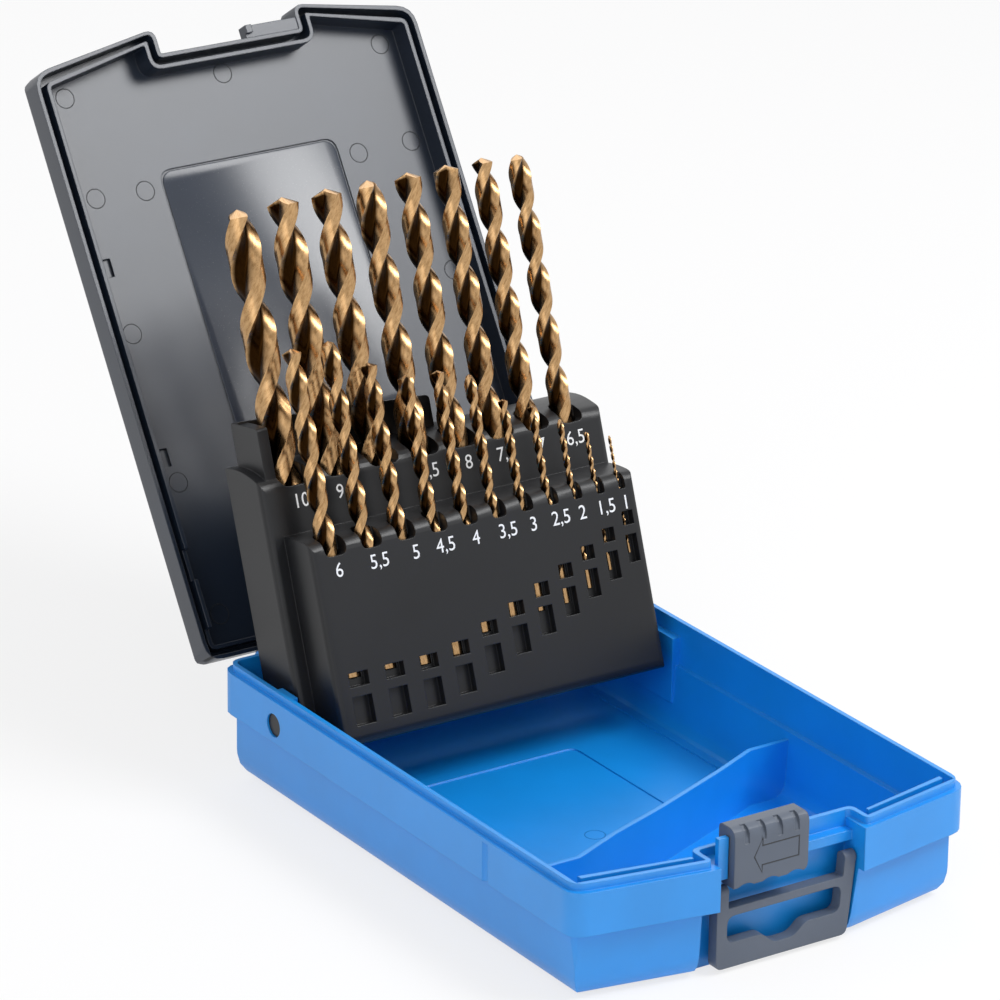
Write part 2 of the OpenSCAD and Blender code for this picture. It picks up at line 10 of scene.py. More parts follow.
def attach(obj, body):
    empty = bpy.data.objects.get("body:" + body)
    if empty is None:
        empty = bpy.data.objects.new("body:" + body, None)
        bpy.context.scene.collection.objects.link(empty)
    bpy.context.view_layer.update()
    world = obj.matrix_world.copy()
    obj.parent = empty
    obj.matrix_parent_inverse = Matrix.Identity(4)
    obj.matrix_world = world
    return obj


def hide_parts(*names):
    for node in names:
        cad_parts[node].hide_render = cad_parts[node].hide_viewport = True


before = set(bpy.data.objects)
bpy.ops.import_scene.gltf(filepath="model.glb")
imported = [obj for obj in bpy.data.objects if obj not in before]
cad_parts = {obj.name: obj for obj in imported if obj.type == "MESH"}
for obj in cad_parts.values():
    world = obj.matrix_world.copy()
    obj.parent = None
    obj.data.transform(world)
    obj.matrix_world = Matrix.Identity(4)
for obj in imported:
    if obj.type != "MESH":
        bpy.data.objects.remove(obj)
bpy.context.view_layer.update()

bl_info = {
    "name": "Drill bit case",
    "version": (1, 0, 0),
    "blender": (4, 5, 0),
    "location": "View3D > Sidebar > Drill case",
    "description": "Finishes and fine pieces of a hinged drill bit case",
    "category": "Object",
}

MM = 0.001

# hinge line of the lid and pivot line of the holder as y and z, and the lid's inner face when shut
LID_AXIS = (91.1 * MM, 30.5 * MM)
LID_OPEN = np.radians(122.9)
LID_CEILING = 40.5 * MM
HOLDER_AXIS = (59.7 * MM, 25.4 * MM)
HOLDER_LEAN = np.radians(19.65)

# the two rows of drills, in millimetres on the holder: place of the first drill, gap between
# drills, front face of the tier, diameters, overall lengths and pocket floors, the turn of each
# drill in radians, and the height of the numbers and how far each stands beside its drill
REAR_ROW = SimpleNamespace(
    start=-45.9, gap=4.95, face=-5.3,
    diameters=10 - 0.5 * np.arange(8),
    lengths=np.array([133, 125, 125, 117, 117, 109, 109, 101]),
    floors=np.array([9.6, 18.6, 18.6, 26.6, 26.6, 34.6, 34.6, 41.6]),
    turns=np.array([0.92, 1.69, 2.04, 0.7, 2.0, 2.61, 1.39, 0.7]),
    number_height=60.0, aside=np.zeros(8))
FRONT_ROW = SimpleNamespace(
    start=-45.6, gap=6.12, face=-18.8,
    diameters=6 - 0.5 * np.arange(11),
    lengths=np.array([93, 93, 86, 80, 75, 70, 61, 57, 49, 40, 34]),
    floors=np.array([9.6, 9.6, 8.4, 8.9, 13.2, 15.2, 15.3, 15.7, 18.3, 22, 25.6]),
    turns=np.array([1.53, 0.68, 1.8, 0.06, 1.85, 0.75, 1.8, 1.82, 0.92, 0.22, 1.02]),
    number_height=40.0, aside=np.array([0, 1.4, 2.1, 1.1, 0.9, 1.8, 1.1, 1.6, 0.6, 0.9, 0.3]))
ROWS = (REAR_ROW, FRONT_ROW)
POCKET_WALL = 1.8

# a drill's section: the margins' share of half a turn, the land's radius behind them, and the
# power that shapes the flute; its rings to a turn, its play under the nominal radius in mm, and
# the diameters over which the flutes grow to their depth
MARGIN = 0.05
LAND_RADIUS = 0.965
FLUTE_POWER = 2.3
RINGS_A_TURN = 38
DRILL_PLAY = 0.02
RUN_OUT = 2.2

# the numbers: letter width over the type's own, and the layer of ink
LETTER_WIDTH = 0.92
INK_LAYER = 0.02 * MM

# the label plate on the shut lid (left, right, front, back, corner radius) and the ejector marks
# in lid and tray as x and y, in mm, and the height of the tray's sunken floor
PLATE = (-29.5, 29.5, -54.5, 26.5, 3.6)
LID_MARKS = np.array([
    [-52.6, -81], [0, -80], [54.5, -80], [-52.3, -50.5], [-36, -50], [36.5, -49], [55, -49.5],
    [-53.5, -9.8], [56, -9], [-53, 35], [-52.5, 74.6], [53.5, 35], [53, 74.6]])
TRAY_MARK = np.array([0, -5.3])
TRAY_FLOOR = 1.6 * MM

# the arrow on the catch, as x and z in mm, and the catch's front face
ARROW = np.array([[-11.6, 33.4], [-9.0, 38.4], [-9.0, 36.2], [2.9, 36.2], [2.9, 30.6],
                  [-9.0, 30.6], [-9.0, 28.4]])
CATCH_FRONT = -94.95 * MM

# the stage: half the floor's side, its depth under the case, the lamps (name, place, size,
# power), what they point at, and the light of the world on the case and behind it
FLOOR_REACH = 4.0
FLOOR_DROP = 0.0002
LAMPS = (("key_light", (0.52, -0.48, 1.0), 0.52, 10.0),
         ("fill_light", (-0.9, -0.6, 0.75), 1.0, 4.0),
         ("rear_light", (0.3, 0.9, 0.9), 0.8, 2.5))
LAMP_AIM = (0, 0.05, 0.06)
WORLD_LIGHT, WORLD_PALE = 0.5, 1.0
FLOOR_PALE = 0.75

# the photograph's camera: distance, azimuth, elevation and roll about the target, and the focal
# length and principal point in pixels of a picture of the given size
CAMERA = SimpleNamespace(distance=1757.06 * MM, azimuth=np.radians(-33.748),
                         elevation=np.radians(22.251), roll=np.radians(0.724),
                         target=np.array([61.689, 144.659, 20.0]) * MM,
                         focal=5837.14, middle=(482.99, 554.59), pixels=1000, sensor=36.0)


def row_places(row):
    """Centres along x: the first, then each next one half of both diameters and the gap on."""
    steps = (row.diameters[:-1] + row.diameters[1:]) / 2 + row.gap
    return row.start + np.concatenate([[0.0], np.cumsum(steps)])


def in_holder(points):
    """Holder coordinates to the frame: a turn by the lean about x, then out to the pivot."""
    c, s = np.cos(HOLDER_LEAN), np.sin(HOLDER_LEAN)
    x, y, z = points.T
    return np.column_stack([x, HOLDER_AXIS[0] + y * c + z * s, HOLDER_AXIS[1] - y * s + z * c])


def in_open_lid(points):
    """Closed-lid coordinates to the open lid: a turn by the opening angle about the hinge."""
    c, s = np.cos(LID_OPEN), np.sin(LID_OPEN)
    x, y, z = points[:, 0], points[:, 1] - LID_AXIS[0], points[:, 2] - LID_AXIS[1]
    return np.column_stack([x, LID_AXIS[0] + y * c + z * s, LID_AXIS[1] - y * s + z * c])


def mesh_object(name, points, faces, body, material, sharp=None):
    """A mesh object at the origin that rides on a body, with one material."""
    mesh = bpy.data.meshes.new(name)
    mesh.from_pydata(points.tolist(), [], [list(f) for f in faces])
    mesh.validate()
    if sharp is not None:
        mesh.polygons.foreach_set("use_smooth", np.ones(len(mesh.polygons), bool))
        mesh.set_sharp_from_angle(angle=sharp)
    mesh.materials.append(material)
    obj = bpy.data.objects.new(name, mesh)
    bpy.context.scene.collection.objects.link(obj)
    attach(obj, body)
    return obj


def grid_faces(rows, columns):
    """Quads of a grid of rows that close on themselves: each cell's four corner numbers."""
    r, c = np.meshgrid(np.arange(rows - 1), np.arange(columns), indexing="ij")
    n = (c + 1) % columns
    quads = np.stack([r * columns + c, r * columns + n,
                      (r + 1) * columns + n, (r + 1) * columns + c], -1)
    return quads.reshape(-1, 4).tolist()


def swept_loop(outline, width, height):
    """A low bead along a closed outline in the plane: point (i, k) is outline(i) + n(i) w(k),
    raised by h(k), where n halves the bend at that corner and is one over the cosine of half the
    bend long, up to 2, and (w, h) runs round the bead's four-sided profile. Returns points
    (x, y, rise) and faces."""
    ahead = np.roll(outline, -1, 0) - outline
    ahead /= np.linalg.norm(ahead, axis=1)[:, None]
    back = np.roll(ahead, 1, 0)
    normal = np.column_stack([-(ahead + back)[:, 1], (ahead + back)[:, 0]])
    length = np.linalg.norm(normal, axis=1)
    cosine = np.clip(length / 2, 0.5, 1)
    normal = normal / length[:, None] / cosine[:, None]
    profile = np.array([[-0.5, 0], [-0.32, 1], [0.32, 1], [0.5, 0]]) * [width, height]
    count = len(outline)
    rings = [np.column_stack([outline + normal * w, np.full(count, h)]) for w, h in profile]
    points = np.vstack(rings)
    faces = [[v % len(points) for v in f] for f in grid_faces(len(rings) + 1, count)]
    return points, faces


def rounded_outline(x0, x1, y0, y1, radius, steps=8):
    """A rectangle with quarter-circle corners: each corner's centre plus the radius times
    (cos t, sin t) over its quarter turn."""
    centres = np.array([[x1 - radius, y1 - radius], [x0 + radius, y1 - radius],
                        [x0 + radius, y0 + radius], [x1 - radius, y0 + radius]])
    turn = np.linspace(0, np.pi / 2, steps)
    turns = [turn + k * np.pi / 2 for k in range(4)]
    return np.vstack([centre + radius * np.column_stack([np.cos(t), np.sin(t)])
                      for centre, t in zip(centres, turns)])


def mark_outline():
    """An ejector mark's circle: the mark's radius times (cos t, sin t) over a whole turn."""
    turn = np.linspace(0, 2 * np.pi, 40, endpoint=False)
    return sizes().mark_radius * np.column_stack([np.cos(turn), np.sin(turn)])


# materials --------------------------------------------------------------------------------


def new_material(name):
    """A node material with its output and shader joined, as material, nodes, links, shader."""
    material = bpy.data.materials.new(name)
    material.use_nodes = True
    nodes = material.node_tree.nodes
    nodes.clear()
    output = nodes.new("ShaderNodeOutputMaterial")
    shader = nodes.new("ShaderNodeBsdfPrincipled")
    material.node_tree.links.new(shader.outputs["BSDF"], output.inputs["Surface"])
    return material, nodes, material.node_tree.links, shader


def noise(nodes, links, place, scale, detail=3.0, rough=0.5):
    """A noise texture on the given coordinates."""
    node = nodes.new("ShaderNodeTexNoise")
    node.inputs["Scale"].default_value = scale
    node.inputs["Detail"].default_value = detail
    node.inputs["Roughness"].default_value = rough
    links.new(place, node.inputs["Vector"])
    return node.outputs["Fac"]


def ramp(nodes, links, source, low, high, low_at=0.3, high_at=0.7):
    """A colour ramp between two colours."""
    node = nodes.new("ShaderNodeValToRGB")
    node.color_ramp.elements[0].position = low_at
    node.color_ramp.elements[1].position = high_at
    node.color_ramp.elements[0].color = (*low, 1)
    node.color_ramp.elements[1].color = (*high, 1)
    links.new(source, node.inputs["Fac"])
    return node.outputs["Color"]


def span(nodes, links, source, low, high):
    """A value from 0 to 1 mapped to low to high."""
    node = nodes.new("ShaderNodeMapRange")
    node.inputs["To Min"].default_value = low
    node.inputs["To Max"].default_value = high
    links.new(source, node.inputs["Value"])
    return node.outputs["Result"]


def moulded_plastic(name, colour, rough, spread=0.06, grain=0.00002, specular=0.5):
    """Moulded plastic: faint cloudy colour, a fine grain in bump and roughness, and edges that
    catch the light as if slightly rounded."""
    material, nodes, links, shader = new_material(name)
    place = nodes.new("ShaderNodeTexCoord").outputs["Object"]
    colour = np.array(colour)
    cloud = noise(nodes, links, place, 35.0)
    tone = ramp(nodes, links, cloud, colour * (1 - spread), np.minimum(colour * (1 + spread), 1))
    links.new(tone, shader.inputs["Base Color"])
    fine = noise(nodes, links, place, 2600.0, 2.0)
    links.new(span(nodes, links, fine, rough - 0.05, rough + 0.07), shader.inputs["Roughness"])
    bevel = nodes.new("ShaderNodeBevel")
    bevel.samples = 4
    bevel.inputs["Radius"].default_value = 0.4 * MM
    bump = nodes.new("ShaderNodeBump")
    bump.inputs["Strength"].default_value = 0.25
    bump.inputs["Distance"].default_value = grain
    links.new(fine, bump.inputs["Height"])
    links.new(bevel.outputs["Normal"], bump.inputs["Normal"])
    links.new(bump.outputs["Normal"], shader.inputs["Normal"])
    shader.inputs["Specular IOR Level"].default_value = specular
    return material


def bronze_steel(name, light, painted_shade_colour):
    """Ground steel with a golden temper colour, lighter on the lands, and painted shade and
    painted reflection that turn the flutes brown, with fine grinding streaks round the drill."""
    material, nodes, links, shader = new_material(name)
    # flute_depth is painted shade and painted reflection: the base colour runs from the land
    # colour towards the dark flute colour by it
    depth = nodes.new("ShaderNodeAttribute")
    depth.attribute_name = "flute_depth"
    along = nodes.new("ShaderNodeAttribute")
    along.attribute_name = "grind"
    streak = noise(nodes, links, along.outputs["Vector"], 1.0, 4.0, 0.6)
    tone = ramp(nodes, links, depth.outputs["Fac"], light, painted_shade_colour, 0.02, 0.66)
    tint = ramp(nodes, links, streak, (0.60, 0.55, 0.47), (1.0, 1.0, 1.0), 0.30, 0.64)
    mix = nodes.new("ShaderNodeMix")
    mix.data_type = "RGBA"
    mix.blend_type = "MULTIPLY"
    mix.inputs["Factor"].default_value = 1.0
    links.new(tone, mix.inputs["A"])
    links.new(tint, mix.inputs["B"])
    links.new(mix.outputs["Result"], shader.inputs["Base Color"])
    links.new(span(nodes, links, streak, 0.20, 0.36), shader.inputs["Roughness"])
    shader.inputs["Metallic"].default_value = 1.0
    bump = nodes.new("ShaderNodeBump")
    bump.inputs["Strength"].default_value = 0.2
    bump.inputs["Distance"].default_value = 0.00003
    links.new(streak, bump.inputs["Height"])
    links.new(bump.outputs["Normal"], shader.inputs["Normal"])
    return material


def printed_ink(name, colour):
    """Matt printing ink with slightly uneven cover."""
    material, nodes, links, shader = new_material(name)
    cover = noise(nodes, links, nodes.new("ShaderNodeTexCoord").outputs["Object"], 1800.0)
    colour = np.array(colour)
    links.new(ramp(nodes, links, cover, colour * 0.9, colour), shader.inputs["Base Color"])
    shader.inputs["Roughness"].default_value = 0.6
    return material


def smooth_rule():
    """A node group that joins the frame mesh's doubled points and shades it smoothly, but for
    edges whose faces meet at more than 26 degrees."""
    group = bpy.data.node_groups.new("smooth_by_angle", "GeometryNodeTree")
    group.is_modifier = True
    for side in ("INPUT", "OUTPUT"):
        group.interface.new_socket("Geometry", in_out=side, socket_type="NodeSocketGeometry")
    nodes, links = group.nodes, group.links
    entry, leave = nodes.new("NodeGroupInput"), nodes.new("NodeGroupOutput")
    join = nodes.new("GeometryNodeMergeByDistance")
    join.inputs["Distance"].default_value = 0.002 * MM
    faces = nodes.new("GeometryNodeSetShadeSmooth")
    edges = nodes.new("GeometryNodeSetShadeSmooth")
    edges.domain = "EDGE"
    angle = nodes.new("GeometryNodeInputMeshEdgeAngle")
    gentle = nodes.new("FunctionNodeCompare")
    gentle.operation = "LESS_THAN"
    gentle.inputs["B"].default_value = np.radians(26)
    links.new(angle.outputs["Unsigned Angle"], gentle.inputs["A"])
    links.new(gentle.outputs["Result"], edges.inputs["Shade Smooth"])
    links.new(entry.outputs["Geometry"], join.inputs["Geometry"])
    links.new(join.outputs["Geometry"], faces.inputs["Geometry"])
    links.new(faces.outputs["Geometry"], edges.inputs["Geometry"])
    links.new(edges.outputs["Geometry"], leave.inputs["Geometry"])
    return group


# settings ---------------------------------------------------------------------------------


class DrillCaseColours(bpy.types.PropertyGroup):
    """Colours of the moulded parts, the drills and the print, as linear values."""

    tray: bpy.props.FloatVectorProperty(
        name="Tray", description="Colour of the tray",
        subtype="COLOR", size=3, min=0, max=1, default=(0.002, 0.265, 0.76))
    lid: bpy.props.FloatVectorProperty(
        name="Lid", description="Colour of the lid",
        subtype="COLOR", size=3, min=0, max=1, default=(0.010, 0.017, 0.032))
    holder: bpy.props.FloatVectorProperty(
        name="Holder", description="Colour of the drill holder",
        subtype="COLOR", size=3, min=0, max=1, default=(0.008, 0.0085, 0.010))
    catch: bpy.props.FloatVectorProperty(
        name="Catch and hanger", description="Colour of the grey parts",
        subtype="COLOR", size=3, min=0, max=1, default=(0.100, 0.120, 0.158))
    land: bpy.props.FloatVectorProperty(
        name="Drill land", description="Light colour of the drills",
        subtype="COLOR", size=3, min=0, max=1, default=(0.55, 0.345, 0.170))
    # The dark flute colour is painted shade: the flutes have the same finish as the lands
    flute: bpy.props.FloatVectorProperty(
        name="Drill flute", description="Dark colour in the flutes",
        subtype="COLOR", size=3, min=0, max=1, default=(0.022, 0.009, 0.002))
    ink: bpy.props.FloatVectorProperty(
        name="Numbers", description="Colour of the printed numbers",
        subtype="COLOR", size=3, min=0, max=1, default=(0.85, 0.86, 0.87))


class DrillCaseSizes(bpy.types.PropertyGroup):
    """Sizes of the pieces that are added on the frame."""

    lead: bpy.props.FloatProperty(
        name="Lead", description="Length of one turn of the flutes, in diameters",
        default=4.65, min=3, max=7)
    web: bpy.props.FloatProperty(
        name="Web", description="Thickness of the core as a share of the diameter",
        default=0.32, min=0.2, max=0.6, subtype="FACTOR")
    land_share: bpy.props.FloatProperty(
        name="Land", description="Share of the turn that the lands take",
        default=0.34, min=0.2, max=0.6, subtype="FACTOR")
    point_angle: bpy.props.FloatProperty(
        name="Point angle", description="Angle at the drill's tip",
        default=np.radians(130), min=1.6, max=2.6, subtype="ANGLE")
    number_height: bpy.props.FloatProperty(
        name="Number height", description="Type size of the numbers",
        default=5.8 * MM, min=2 * MM, max=9 * MM, unit="LENGTH")
    mark_radius: bpy.props.FloatProperty(
        name="Ejector marks", description="Radius of the round marks",
        default=2.9 * MM, min=1 * MM, max=5 * MM, unit="LENGTH")


def colours():
    """The scene's colours."""
    return bpy.context.scene.drill_case_colours


def sizes():
    """The scene's sizes."""
    return bpy.context.scene.drill_case_sizes


# drills -----------------------------------------------------------------------------------


def drill_section(web, land_share):
    """A drill's section as turn, radius over the full radius and shade. Over half a turn it has a
    margin at 1, a land relieved to LAND_RADIUS, and a flute with the radius web + (edge - web)
    |2 t - 1| ^ FLUTE_POWER, where t goes from 0 to 1 across it and the edge from LAND_RADIUS to
    1. The shade is 0.42 of the depth and 0.58 of a smooth step that falls from t = 0.38 to 0.88
    and rises from 0 over the first 0.12, next to the heel of the land."""
    margin = np.linspace(0, MARGIN, 3)[:-1]
    land = np.linspace(MARGIN + 0.005, land_share, 7)[:-1]
    flute = np.linspace(land_share, 1, 21)[:-1]
    t = (flute - land_share) / (1 - land_share)
    edge = LAND_RADIUS + (1 - LAND_RADIUS) * t
    hollow = web + (edge - web) * np.abs(2 * t - 1) ** FLUTE_POWER
    turn = np.concatenate([margin, land, flute]) * np.pi
    radius = np.concatenate([np.ones(len(margin)), np.full(len(land), LAND_RADIUS), hollow])
    fall, heel = np.clip((0.88 - t) / 0.5, 0, 1), np.clip((0.12 - t) / 0.12, 0, 1)
    step = fall * fall * (3 - 2 * fall) * (1 - heel * heel)
    shade = 0.42 * (1 - hollow) / (1 - web) + 0.58 * step
    shade = np.concatenate([np.zeros(len(margin) + len(land)), shade])
    return np.concatenate([turn, turn + np.pi]), np.tile(radius, 2), np.tile(shade, 2)


def drill_surface(diameter, length, phase, size):
    """A twist drill along z from 0 to its length, in millimetres. A point at turn a and height z
    has the radius R (1 - k(z) (1 - section(a))) and is turned by 2 pi (z - length) / lead, but
    never past the start of the flutes, from where k rises smoothly from 0 to 1 over RUN_OUT
    diameters. The tip is the section shrunk by q from 1 to nearly 0 at the height
    length - q R section / tan(half the point angle). Returns points, faces, the shade at each
    point and a streak coordinate, (5 cos a, 5 sin a, z / 2)."""
    turn, section, tone = drill_section(size.web, size.land_share)
    lead = size.lead * diameter
    radius = diameter / 2 - DRILL_PLAY
    start = 0.24 * length - 6
    slope = np.tan(size.point_angle / 2)
    top = length - radius / slope - 0.01 * diameter
    rings = int(np.ceil((top - start) / (lead / RINGS_A_TURN)))
    shank = [0.0, 0.06 * diameter, start * 0.5]
    heights = np.concatenate([shank, np.linspace(start, top, rings)])
    k = np.clip((heights - start) / (RUN_OUT * diameter), 0, 1)
    k = k * k * (3 - 2 * k)
    rim = radius * (1 - k[:, None] * (1 - section[None, :]))
    rim[0] *= 0.9
    twist = 2 * np.pi * (np.maximum(heights, start) - length) / lead
    angle = turn[None, :] + twist[:, None] + phase
    lift = np.broadcast_to(heights[:, None], rim.shape)
    body = np.stack([rim * np.cos(angle), rim * np.sin(angle), lift], -1)
    q = np.array([1.0, 0.75, 0.5, 0.25, 0.04])
    rim = q[:, None] * radius * section[None, :]
    angle = np.broadcast_to(angle[-1], rim.shape)
    tip = np.stack([rim * np.cos(angle), rim * np.sin(angle), length - rim / slope], -1)
    ends = [[0, 0, 0], [0, 0, length]]
    points = np.vstack([np.concatenate([body, tip]).reshape(-1, 3), ends])
    rows, columns = len(heights) + len(q), len(turn)
    foot, peak = len(points) - 2, len(points) - 1
    first = np.arange(columns)
    following, last = (first + 1) % columns, (rows - 1) * columns
    faces = grid_faces(rows, columns)
    faces += np.column_stack([np.full(columns, foot), following, first]).tolist()
    faces += np.column_stack([np.full(columns, peak), last + first, last + following]).tolist()
    shade = np.concatenate([k[:, None] * tone[None, :], np.zeros((len(q), columns))]).ravel()
    shade = np.concatenate([shade, [0, 0]])
    swirl = np.tile(turn, rows)
    grind = np.column_stack([np.concatenate([np.cos(swirl), [0, 0]]) * 5.0,
                             np.concatenate([np.sin(swirl), [0, 0]]) * 5.0, points[:, 2] * 0.5])
    return points, faces, shade, grind


class DRILLCASE_OT_drills(bpy.types.Operator):
    """Replace the plain drills by ground twist drills in both rows of the holder."""

    bl_idname = "drill_case.drills"
    bl_label = "Twist drills"

    def execute(self, context):
        tone = colours()
        material = bronze_steel("bronze_steel", tone.land, tone.flute)
        for row in ROWS:
            drills = zip(row_places(row), row.diameters, row.lengths, row.floors, row.turns)
            for x, diameter, length, floor, phase in drills:
                points, faces, shade, grind = drill_surface(diameter, length, phase, sizes())
                centre = [x, row.face + POCKET_WALL + diameter / 2, floor]
                points = in_holder((points + centre) * MM)
                node = "drill_" + f"{diameter:g}".replace(".", "_")
                obj = mesh_object("twist_" + node, points, faces, node, material,
                                  np.radians(38))
                # painted shade and painted reflection across the flutes, read by the drill's
                # material
                painted_shades = obj.data.attributes.new("flute_depth", "FLOAT", "POINT")
                painted_shades.data.foreach_set("value", shade)
                streaks = obj.data.attributes.new("grind", "FLOAT_VECTOR", "POINT")
                streaks.data.foreach_set("vector", grind.ravel())
                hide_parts(node)
        return {"FINISHED"}


class DRILLCASE_OT_mouldings(bpy.types.Operator):
    """Give the tray, lid, holder, catch and hanger their plastic finishes."""

    bl_idname = "drill_case.mouldings"
    bl_label = "Moulded parts"

    def execute(self, context):
        tone = colours()
        finishes = {
            "base_tray": moulded_plastic("tray_plastic_blue", tone.tray, 0.38, specular=0.85),
            "lid": moulded_plastic("lid_plastic_slate", tone.lid, 0.34, 0.10, specular=0.6),
            "drill_holder": moulded_plastic("holder_plastic_black", tone.holder, 0.36, 0.15,
                                            specular=0.38),
            "latch_slider": moulded_plastic("catch_plastic_grey", tone.catch, 0.40, 0.08,
                                            specular=0.4),
            "hanger": moulded_plastic("hanger_plastic_grey", tone.catch, 0.40, 0.08,
                                      specular=0.4),
        }
        rule = smooth_rule()
        for node, material in finishes.items():
            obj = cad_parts[node]
            for slot in obj.material_slots:
                slot.material = material
            obj.modifiers.new("smooth", "NODES").node_group = rule
            weighted = obj.modifiers.new("weighted_normals", "WEIGHTED_NORMAL")
            weighted.keep_sharp = True
        return {"FINISHED"}


class DRILLCASE_OT_numbers(bpy.types.Operator):
    """Print the drill sizes under the pockets."""

    bl_idname = "drill_case.numbers"
    bl_label = "Size numbers"

    def execute(self, context):
        material = printed_ink("number_ink", colours().ink)
        points, faces, count = [], [], 0
        for row in ROWS:
            for x, diameter in zip(row_places(row) + row.aside, row.diameters):
                curve = bpy.data.curves.new("number", "FONT")
                curve.body = f"{diameter:g}".replace(".", ",")
                curve.size = sizes().number_height
                curve.align_x = "CENTER"
                curve.align_y = "CENTER"
                curve.resolution_u = 3
                curve.extrude = INK_LAYER
                text = bpy.data.objects.new("number", curve)
                flat = text.to_mesh()
                corners = np.empty(len(flat.vertices) * 3)
                flat.vertices.foreach_get("co", corners)
                across, up, out = corners.reshape(-1, 3).T
                points.append(np.column_stack([across * LETTER_WIDTH + x * MM,
                                               row.face * MM - INK_LAYER - out,
                                               up + row.number_height * MM]))
                faces += [[v + count for v in p.vertices] for p in flat.polygons]
                count += len(flat.vertices)
                text.to_mesh_clear()
                bpy.data.objects.remove(text)
        mesh_object("size_numbers", in_holder(np.vstack(points)), faces, "drill_holder", material)
        return {"FINISHED"}


class DRILLCASE_OT_lid_face(bpy.types.Operator):
    """Lay the plain glossy label plate in the lid and ring the ejector marks."""

    bl_idname = "drill_case.lid_face"
    bl_label = "Lid face"

    def execute(self, context):
        slate = np.array(colours().lid)
        self.plate(moulded_plastic("label_plate_gloss", slate * 1.1, 0.24, 0.04, 0.000003,
                                   specular=0.6))
        # The marks are half the lid's colour: painted shade for the groove round each mark
        self.marks(moulded_plastic("ejector_mark_painted_shade", slate * 0.5, 0.4, 0.05))
        return {"FINISHED"}

    def plate(self, finish):
        """Three rings of one rounded outline: the plate's back in its recess, the foot of its
        edge, and its face, shrunk to 0.995, 0.12 mm behind the lid's inner face."""
        outline = rounded_outline(*PLATE) * MM
        count = len(outline)
        rings = ((1.0, 0.38), (1.0, 0.22), (0.995, 0.12))
        points = np.vstack([
            np.column_stack([outline * share, np.full(count, LID_CEILING + up * MM)])
            for share, up in rings])
        faces = [list(reversed(f)) for f in grid_faces(len(rings), count)]
        faces.append([2 * count + k for k in reversed(range(count))])
        faces.append(list(range(count)))
        mesh_object("label_plate", in_open_lid(points), faces, "lid", finish,
                    np.radians(30))

    def marks(self, finish):
        """A low bead round each mark, hanging from the lid's inner face."""
        points, faces = [], []
        for centre in LID_MARKS * MM:
            bead, bead_faces = swept_loop(mark_outline() + centre, 0.34 * MM, 0.05 * MM)
            bead[:, 2] = LID_CEILING - bead[:, 2]
            shift = len(points) * len(bead)
            points.append(bead)
            faces += [[v + shift for v in reversed(f)] for f in bead_faces]
        mesh_object("lid_ejector_marks", in_open_lid(np.vstack(points)), faces, "lid", finish,
                    np.radians(30))


class DRILLCASE_OT_catch_arrow(bpy.types.Operator):
    """Mark the sliding direction on the catch with an arrow outline."""

    bl_idname = "drill_case.catch_arrow"
    bl_label = "Arrow on the catch"

    def execute(self, context):
        material = moulded_plastic("arrow_line_dark", np.array(colours().catch) * 0.25, 0.5)
        bead, faces = swept_loop(ARROW[::-1] * MM, 0.42 * MM, 0.012 * MM)
        points = np.column_stack([bead[:, 0], CATCH_FRONT - bead[:, 2], bead[:, 1]])
        mesh_object("catch_arrow", points, faces, "latch_slider", material)
        return {"FINISHED"}


class DRILLCASE_OT_tray_marks(bpy.types.Operator):
    """Ring the ejector mark on the tray's floor."""

    bl_idname = "drill_case.tray_marks"
    bl_label = "Tray mark"

    def execute(self, context):
        # The ring is 0.8 of the tray's colour: painted shade for the groove round the mark
        material = moulded_plastic("tray_mark_painted_shade", np.array(colours().tray) * 0.8, 0.4)
        bead, faces = swept_loop(mark_outline() + TRAY_MARK * MM, 0.3 * MM, 0.06 * MM)
        bead[:, 2] += TRAY_FLOOR
        mesh_object("floor_ejector_mark", bead, faces, "base_tray", material)
        return {"FINISHED"}


# stage ------------------------------------------------------------------------------------


def pale_rays(nodes, links, share):
    """A value of the given share for camera, glossy and transmission rays, else 0."""
    rays = nodes.new("ShaderNodeLightPath")
    found = rays.outputs["Is Camera Ray"]
    for kind in ("Is Glossy Ray", "Is Transmission Ray"):
        either = nodes.new("ShaderNodeMath")
        either.operation = "MAXIMUM"
        links.new(found, either.inputs[0])
        links.new(rays.outputs[kind], either.inputs[1])
        found = either.outputs[0]
    part = nodes.new("ShaderNodeMath")
    part.operation = "MULTIPLY"
    part.inputs[1].default_value = share
    links.new(found, part.inputs[0])
    return part.outputs[0]


def floor_material():
    """Pale matt floor that reads as white to the camera and to reflections, and keeps faint
    shadows."""
    material, nodes, links, shader = new_material("floor_pale")
    white = nodes.new("ShaderNodeEmission")
    blend = nodes.new("ShaderNodeMixShader")
    links.new(pale_rays(nodes, links, FLOOR_PALE), blend.inputs["Fac"])
    links.new(shader.outputs["BSDF"], blend.inputs[1])
    links.new(white.outputs[0], blend.inputs[2])
    links.new(blend.outputs[0], nodes["Material Output"].inputs["Surface"])
    shader.inputs["Base Color"].default_value = (0.86, 0.86, 0.87, 1)
    shader.inputs["Roughness"].default_value = 0.9
    shader.inputs["Specular IOR Level"].default_value = 0.1
    return material


